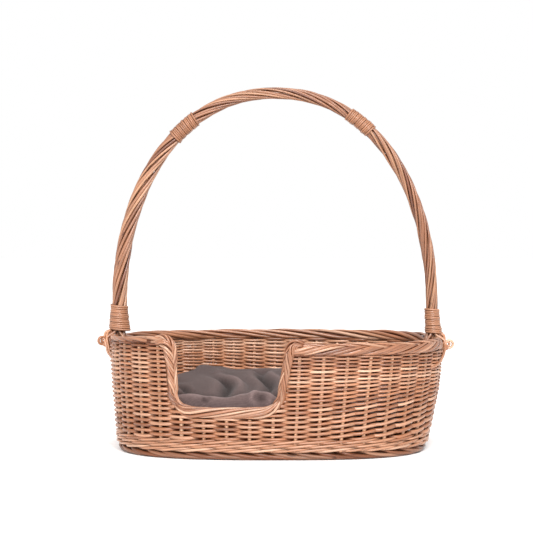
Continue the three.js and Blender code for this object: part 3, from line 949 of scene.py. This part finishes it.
def lashings(bow, material):
    for side in ENDS:
        node = f"handle_lashing_upper_{side}"
        middle = bow.run[np.argmin(np.linalg.norm(bow.points - centre_of(node), axis=1))]
        span = middle - LASHING["upper_half"], middle + LASHING["upper_half"]
        lashing(bow, f"upper_binding_{side}", node, *span, material, shade=UPPER_SHADE[side])
        node = f"handle_lashing_lower_{side}"
        low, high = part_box(node)
        span = sorted(run_at(bow, side, z) for z in (low.z, high.z))
        lashing(bow, f"lower_binding_{side}", node, *span, material, FLARE[side], side == "left")


def handle_bow(bow, material):
    """The stiff rod inside the handle, whose feet follow the bulge of the wall's ends."""
    places = bow.points.copy()
    places[:, 0] += belly(np.where(places[:, 0] > 0, ENDS["right"], ENDS["left"]), places[:, 2])
    rods = Rods(sides=10)
    rods.add(places, 0.0055, across=BEHIND)
    rods.piece("bow_rod", material, "willow", "handle_bow")


def handle_feet(bow, material):
    """The strands' feet come out of the lower lashings, stand astride the rim and go in under it."""
    rods = Rods(sides=8)
    count = 8
    for side, share in ENDS.items():
        border = wall(share, rim_height(share))
        thick = float(rim_radius(share))
        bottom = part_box(f"handle_lashing_lower_{side}")[0].z
        for number in range(count):
            angle = 2 * np.pi * (number + 0.5) / count
            size = 0.0028 * random.uniform(0.9, 1.1)
            away = OUTWARD[side] * (1 if math.cos(angle) > 0 else -1.35)
            spread = math.sin(angle)
            start = bow.spot(run_at(bow, side, bottom + 0.02), 0.0095, angle)
            neck = bow.spot(run_at(bow, side, bottom), 0.0105, angle)
            astride = border + (away * (thick + size * 0.8), 0.016 * spread, 0.002)
            under = border + (away * 0.0085, 0.021 * spread, -thick - 0.004)
            tucked = border + (away * 0.003, 0.023 * spread, -thick - 0.018)
            rods.add(curve_through([start, neck, astride, under, tucked], 6), size, across=BEHIND_AND_OUT)
    rods.piece("handle_feet", material, "willow")


def tie_rods(bow, material):
    """At each foot of the handle, rods come out of the lashing, pass outside the rim and go into the
    weave below it: four rods side by side on the left, and one that slants forwards on the right."""
    for side, share in ENDS.items():
        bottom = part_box(f"handle_lashing_lower_{side}")[0].z
        reach = float(strand_outer(bow, run_at(bow, side, bottom)))
        runs = [run_at(bow, side, bottom + rise) for rise in (0.012, 0.002)]
        start = [bow.spot(run, reach, math.radians(-25)) for run in runs]
        shares, rises, outs = np.array(TIES[side]).T
        below = wall(shares, float(rim_height(share)) + rises, outs)
        rods = Rods(sides=10)
        for inward, forward in TIE_RODS[side]:
            path = curve_through([*start, *(below + (inward, forward, 0))], 6)
            size = TIE_RADIUS[side] * np.linspace(1, 0.8, len(path))
            rods.add(path, size, across=(0.2, 1, 0.1))
        rods.piece(f"tie_{side}", material, "willow", f"tie_rod_{side}")


def loops(material):
    """A small ring of thin rod outside each tie, with a smaller one against the border and the cut
    ends of a knot."""
    thin = 0.0022
    for side, turn in LOOP_TURN.items():
        outward = OUTWARD[side]
        node = f"rim_loop_{side}"
        low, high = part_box(node)
        centre = centre_of(node)
        centre[0] -= outward * LOOP_INWARD[side]
        ring = (high.z - low.z) / 2 - 0.0008
        level = np.array([math.cos(turn), math.sin(turn), 0.0])
        facing = np.array([-math.sin(turn), math.cos(turn), 0.0])
        rods = Rods()
        for shift, size, turns in ((0.0, ring, 2.1), (-0.55 * ring, ring * 0.6, 1.6)):
            angle = np.linspace(0.3, 0.3 + 2 * np.pi * turns, 56)
            round_it = np.cos(angle)[:, None] * level + np.sin(angle)[:, None] * (0, 0, 1)
            path = centre + level * outward * shift + size * round_it
            side_by_side = facing * np.linspace(-1, 1, len(angle))[:, None] * thin
            rods.add(path + side_by_side, thin, across=facing)
        knot = centre - level * outward * ring * 1.1
        above = knot + (-outward * 0.003, 0, 0.003)
        for tilt in (-0.9, -0.3, 0.5):
            tip = knot + (outward * 0.004 * math.cos(tilt), -0.003, -0.006 + 0.005 * math.sin(tilt))
            rods.add(curve_through([above, knot, tip], 4), thin * 1.1, across=BEHIND)
        rods.piece(f"loop_{side}", material, "skein", node)


# ---- The cushion ----

FOLDS = (  # a fold in the cushion's top: where it starts and ends, its depth and its half width
    ((-0.100, 0.05), (-0.078, -0.135), 0.011, 0.010),
    ((-0.110, 0.085), (-0.048, -0.11), -0.009, 0.009),
    ((-0.068, 0.085), (-0.020, 0.075), 0.006, 0.014),
    ((-0.026, 0.090), (-0.010, -0.11), 0.012, 0.009),
    ((-0.004, 0.05), (0.006, -0.05), -0.006, 0.009),
    ((-0.185, -0.03), (-0.143, -0.09), 0.009, 0.0055),
    ((-0.185, -0.055), (-0.150, -0.105), -0.004, 0.006),
    ((0.06, 0.11), (0.12, -0.10), 0.009, 0.014),
    ((0.14, 0.10), (0.18, -0.09), 0.007, 0.014),
    ((-0.22, 0.06), (-0.17, 0.0), 0.005, 0.012),
    ((0.05, -0.03), (0.15, -0.10), 0.007, 0.010),
)
TOP_PROFILE = (  # how far the cushion's top is above its even crown, against the distance from its front
    (0.004, 0.002),
    (0.014, 0.0055),
    (0.024, 0.0005),
    (0.031, -0.003),
    (0.040, -0.0125),
    (0.048, -0.0210),
    (0.058, -0.0210),
    (0.080, -0.0170),
    (0.110, -0.0130),
    (0.174, -0.0044),
    (0.234, 0.0050),
    (0.290, 0.0150),
    (0.314, 0.0195),
    (0.332, 0.0170),
    (0.350, 0.0),
)
OVAL_POWER = 2.9  # how square the cushion's outline is
ROLL_BACK = 0.047  # the crease behind the front roll, from the cushion's front
EAR_X = -0.0235
PINCHES = (  # a pinch in the front roll: x, z, half width, half height, lean in degrees, swell of its rim and of its painted highlight
    (EAR_X, 0.102, 0.018, 0.0135, 0, 1.0),
    (-0.123, 0.098, 0.007, 0.020, 40, 0.0),
    (-0.114, 0.099, 0.006, 0.016, 40, 0.0),
)


def cushion_sizes():
    low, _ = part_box("cushion_bottom_cover")
    top_low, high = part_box("cushion_top_cover")
    return {
        "middle": ((low.x + high.x) / 2, (low.y + high.y) / 2),
        "half_length": (high.x - low.x) / 2,
        "half_depth": (high.y - low.y) / 2,
        "bottom": low.z,
        "seam": top_low.z,
        "top": high.z,
    }


def cushion_mesh(size, shrink):
    """A closed, crowned cushion: full at the sides, a little hollow on top."""
    around, levels = 96, 30
    turn = 2 * np.pi * np.arange(around) / around
    over_length = np.abs(np.cos(turn) / size["half_length"]) ** OVAL_POWER
    over_depth = np.abs(np.sin(turn) / size["half_depth"]) ** OVAL_POWER
    oval = (over_length + over_depth) ** (-1 / OVAL_POWER)
    middle_x, middle_y = size["middle"]
    vertices = []
    for tilt in np.radians(np.linspace(-88, 88, levels)):
        rise = math.copysign(abs(math.sin(tilt)) ** 0.62, tilt)
        tall = size["top"] - size["seam"] if tilt > 0 else size["seam"] - size["bottom"]
        level = np.full(around, size["seam"] + tall * rise * (1 - shrink * 6))
        radius = oval * math.cos(tilt) ** 0.42 - shrink
        flat = middle_x + radius * np.cos(turn), middle_y + radius * np.sin(turn)
        vertices.append(np.stack([*flat, level], -1))
    quads, ends = ring_faces(levels, around)
    mesh = bpy.data.meshes.new("cushion")
    mesh.from_pydata(np.concatenate(vertices).tolist(), [], ends + quads)
    return mesh


def applied(piece):
    """The piece's mesh with its modifiers applied, in place of its old one."""
    graph = bpy.context.evaluated_depsgraph_get()
    made = bpy.data.meshes.new_from_object(piece.evaluated_get(graph))
    piece.modifiers.clear()
    piece.data = made
    return made


def puffed(piece):
    """Swells the cushion's cloth for a few frames, and keeps it within a cap of its start."""
    cap, frames = 0.003, 20
    before = points_of(piece.data)
    cloth = piece.modifiers.new("cloth", "CLOTH")
    cloth.settings.use_pressure = True
    cloth.settings.uniform_pressure_force = 4.0
    cloth.settings.effector_weights.gravity = 0.0
    cloth.settings.bending_stiffness = 0.4
    cloth.point_cache.frame_start = 1
    cloth.point_cache.frame_end = frames
    for number in range(1, frames + 1):
        bpy.context.scene.frame_set(number)
    moved = points_of(applied(piece)) - before
    length = np.linalg.norm(moved, axis=1, keepdims=True)
    capped = before + moved * np.minimum(1, cap / np.maximum(length, 1e-9))
    piece.data.vertices.foreach_set("co", capped.ravel())
    bpy.context.scene.frame_set(1)


def distance_to(flat, start, end):
    """Each point's distance from a stretch of line seen from above, and how far along it lies."""
    start, end = np.array(start), np.array(end)
    along = end - start
    t = np.clip((flat - start) @ along / (along @ along), 0, 1)
    return np.linalg.norm(flat - (start + t[:, None] * along), axis=1), t


def hill(distance, width):
    """1 where the distance is nought, falling away on both sides."""
    return np.exp(-((distance / width) ** 2))


def near_back(y):
    """1 along the cushion's back edge, and 0 from its middle forwards."""
    return smoothstep(y, 0.05, 0.12)


def distance_from_front(points, size):
    """Each point's distance from the cushion's front edge, which near the back is taken as straight."""
    x, y = points[:, 0], points[:, 1]
    middle_x, middle_y = size["middle"]
    across = np.clip(np.abs(x - middle_x) / size["half_length"], 0, 0.98)
    edge = middle_y - size["half_depth"] * oval_share(across, OVAL_POWER)
    wander = 0.004 * np.sin(x * 31) + 0.002 * np.sin(x * 67 + 1)
    back = near_back(y)
    return y - lerp(edge, middle_y - size["half_depth"], back) + wander * (1 - back)


def folds(points):
    """The folds in the cushion's top, each a valley beside a ridge: their lift, painted highlight and
    painted shade.
    """
    x, y = points[:, 0], points[:, 1]
    bent = np.stack([x + 0.006 * np.sin(y * 45), y + 0.006 * np.sin(x * 38)], -1)
    lift, light, dark = np.zeros((3, len(points)))
    for start, end, depth, width in FOLDS:
        away, t = distance_to(bent, start, end)
        fade = np.sin(np.pi * np.clip(t, 0.04, 0.96)) ** 0.5
        valley = fade * hill(away, width)
        ridge = fade * hill(away - 2.0 * width, 1.2 * width)
        lift += depth * (0.3 * ridge - valley)
        light += 9 * depth * ridge**2
        dark += 120 * depth * valley**2
    return lift, light, dark


def back_edge(points):
    """The raised corner near the left of the back, and the step down beyond it: lift and painted shade."""
    x, y = points[:, 0], points[:, 1]
    step = 1 - smoothstep(x + 0.02 * y, -0.149, -0.143)
    lift = 0.0065 * hill(x + 0.142, 0.022) - 0.0085 * smoothstep(x, -0.115, -0.075) - 0.0075 * step
    return lift * near_back(y), 0.35 * step * near_back(y)


def roll_tilt(x):
    """The front roll is higher at its left end and at its ear."""
    left = 0.004 * (1 - smoothstep(x, -0.15, -0.11)) - 0.0025 * smoothstep(x, -0.12, -0.08)
    return left + 0.0055 * np.exp(-(((x - EAR_X) / 0.018) ** 4))


def pinched(points, on_roll):
    """Presses the pinches into the front roll, and gives their painted highlights and painted shade."""
    light, dark = np.zeros((2, len(points)))
    for x, z, width, height, lean, rim in PINCHES:
        right, up = points[:, 0] - x, points[:, 2] - z
        cos, sin = math.cos(math.radians(lean)), math.sin(math.radians(lean))
        away = np.hypot((right * cos - up * sin) / width, (right * sin + up * cos) / height)
        swell = rim * hill(away - 1, 0.22) * on_roll
        hollow = hill(away, 0.36) * on_roll
        points[:, 1] += 0.005 * hollow - 0.003 * swell
        points[:, 2] += 0.003 * swell
        light += 0.32 * swell - rim * 0.07 * hill(away - 0.62, 0.25) * on_roll
        light += rim * 0.12 * hill(right - 0.6 * width, 0.005) * hill(up, 0.006)
        dark += 1.3 * hollow
    return light, dark


def creased(piece, size):
    """Folds and crumples the cushion's top, with a rolled front edge and a pinched ear on it. The
    shade attribute is painted shade in the valleys, and painted highlight on the ridges and the roll."""
    points = points_of(piece.data)
    x, y = points[:, 0].copy(), points[:, 1].copy()
    top_share = smoothstep(points[:, 2], size["seam"], size["seam"] + 0.03)
    from_front = distance_from_front(points, size)
    on_roll = 1 - smoothstep(from_front, ROLL_BACK - 0.014, ROLL_BACK)
    profile = curve_through([(*place, 0) for place in TOP_PROFILE], 5)
    lift, light, dark = folds(points)
    edge_lift, edge_dark = back_edge(points)
    lift += edge_lift + on_roll * roll_tilt(x) + np.interp(from_front, profile[:, 0], profile[:, 1])
    for wave, (kx, ky) in enumerate(random.normal(0, 24, (6, 2))):
        lift += 0.0009 * np.sin(kx * x + ky * y + wave + 2 * np.sin(x * 9 + wave))
    points[:, 2] = np.minimum(points[:, 2] + lift * top_share, size["top"] + 0.0165)
    # A painted highlight along the front roll, brightest near its top.
    light += on_roll * (0.10 + 0.42 * hill(from_front - 0.027, 0.008))
    # Painted shade in the crease behind the front roll.
    dark += edge_dark + 0.9 * hill(from_front - ROLL_BACK - 0.012, 0.012)
    pinch_light, pinch_dark = pinched(points, on_roll)
    # The painted highlights less the painted shade, kept as the shade attribute.
    shade = 0.28 + light + pinch_light - 0.28 * (dark + pinch_dark) * top_share
    piece.data.vertices.foreach_set("co", points.ravel())
    attribute = piece.data.attributes.new("shade", "FLOAT", "POINT")
    attribute.data.foreach_set("value", np.clip(shade, 0, 1).astype(np.float32))


def cushion_seam(piece, size, material):
    """A piped seam where the two covers meet."""
    points = points_of(piece.data)
    near = points[np.abs(points[:, 2] - size["seam"]) < 0.008]
    out_of_middle = near[:, :2] - size["middle"]
    heading = np.arctan2(out_of_middle[:, 1], out_of_middle[:, 0])
    reach = np.linalg.norm(out_of_middle, axis=1)
    angles = np.linspace(-np.pi, np.pi, 121)
    radius = np.array([reach[np.abs(heading - a) < 0.05].max() for a in angles])
    radius[-1] = radius[0]
    flat = np.stack([radius * np.cos(angles), radius * np.sin(angles)], -1) + size["middle"]
    rods = Rods()
    rods.add(np.column_stack([flat, np.full(len(angles), size["seam"])]), 0.0022)
    # The piping has no shade attribute, so the fabric paints it with its darkest painted shade.
    mesh = bpy.data.meshes.new("cushion_piping")
    mesh.from_pydata(np.concatenate(rods.vertices).tolist(), [], rods.faces)
    shown("cushion_piping", mesh, material, "cushion", ())


def cushion(material):
    """The loose cushion, swelled as cloth and then creased."""
    size = cushion_sizes()
    piece = added("cushion_pad", cushion_mesh(size, shrink=0.006))
    remesh = piece.modifiers.new("remesh", "REMESH")
    remesh.mode = "VOXEL"
    remesh.voxel_size = 0.0055
    applied(piece)
    puffed(piece)
    creased(piece, size)
    piece.modifiers.new("finer", "SUBSURF").levels = 1
    applied(piece)
    piece.data.polygons.foreach_set("use_smooth", [True] * len(piece.data.polygons))
    piece.data.materials.clear()
    piece.data.materials.append(material)
    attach(piece, "cushion")
    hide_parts("cushion_top_cover", "cushion_bottom_cover", "cushion_filling")
    cushion_seam(piece, size, material)


# ---- Camera, light and floor ----

CAMERA = {"place": (0.0, -2.5, 0.362), "lens": 93.8, "sensor": 36.0, "down": 0.928, "turn": 0.371}
FLOOR_SIZE = 60


def camera():
    """A long way off, level with the lower part of the handle, looking slightly down."""
    data = bpy.data.cameras.new("camera")
    data.lens, data.sensor_width = CAMERA["lens"], CAMERA["sensor"]
    made = added("camera", data)
    made.location = CAMERA["place"]
    made.rotation_euler = (math.radians(90 - CAMERA["down"]), 0.0, math.radians(CAMERA["turn"]))
    bpy.context.scene.camera = made


def area_light(name, place, aim, size, power, colour=(1, 1, 1)):
    data = bpy.data.lights.new(name, "AREA")
    data.shape = "RECTANGLE"
    data.size, data.size_y = size
    data.energy = power
    data.color = colour
    made = added(name, data)
    made.location = place
    direction = np.array(aim) - np.array(place)
    made.rotation_euler = Vector(direction).to_track_quat("-Z", "Y").to_euler()


def sun():
    """A broad sun from the front, a little to the left and a third of the way up the sky."""
    data = bpy.data.lights.new("sky", "SUN")
    data.energy, data.angle = 1.85, math.radians(22)
    made = added("sky", data)
    made.rotation_euler = (math.radians(58), 0, math.radians(-12))


def floor():
    bpy.ops.mesh.primitive_plane_add(size=FLOOR_SIZE, location=(0, 0, 0))
    made = bpy.context.object
    made.name = "floor"
    nodes = Nodes("floor")
    nodes.shader.inputs["Base Color"].default_value = (1, 1, 1, 1)
    nodes.shader.inputs["Roughness"].default_value = 0.9
    made.data.materials.append(nodes.material)


def studio():
    """A white world and floor, a key light at the front right, a warm one over the basket, and a sun."""
    world = bpy.data.worlds.new("studio")
    world.use_nodes = True
    background = world.node_tree.nodes["Background"]
    background.inputs["Color"].default_value = (1, 1, 1, 1)
    background.inputs["Strength"].default_value = 1.0
    bpy.context.scene.world = world
    area_light("key", (0.55, -2.25, 1.5), (0, 0, 0.15), (0.7, 0.7), 45)
    area_light("inside", (0, -0.55, 3.9), (0, 0.24, 0.12), (0.9, 0.5), 50, (1.0, 0.84, 0.68))
    sun()
    floor()
    bpy.context.scene.view_settings.view_transform = "Standard"


# ---- Assembly ----

camera()
studio()
wall_willow = willow("willow", linear(124, 74, 48), linear(166, 111, 78), linear(202, 160, 132))
border_willow = willow("border_willow", linear(114, 68, 44), linear(153, 102, 72), linear(186, 147, 121))
# The stakes' willow is paler than the wall's: painted light on the stakes.
stake_willow_painted_light = willow("stake_willow_painted_light", linear(172, 122, 89), linear(202, 152, 117), linear(224, 182, 149))
handle_willow = willow("handle_willow", linear(112, 66, 44), linear(152, 104, 76), linear(188, 144, 112))
skein_willow = willow("skein", linear(142, 92, 63), linear(156, 106, 76), linear(170, 122, 92))
cover_fabric = fabric("cushion_fabric")

side_weave(wall_willow)
stakes(stake_willow_painted_light)
upsett_wale(wall_willow)
foot_border(border_willow)
rim_border(border_willow)
entry_border(border_willow)
base(wall_willow)
bow = bow_line()
handle_strands(bow, handle_willow)
lashings(bow, skein_willow)
handle_bow(bow, handle_willow)
handle_feet(bow, handle_willow)
tie_rods(bow, wall_willow)
loops(wall_willow)
cushion(cover_fabric)
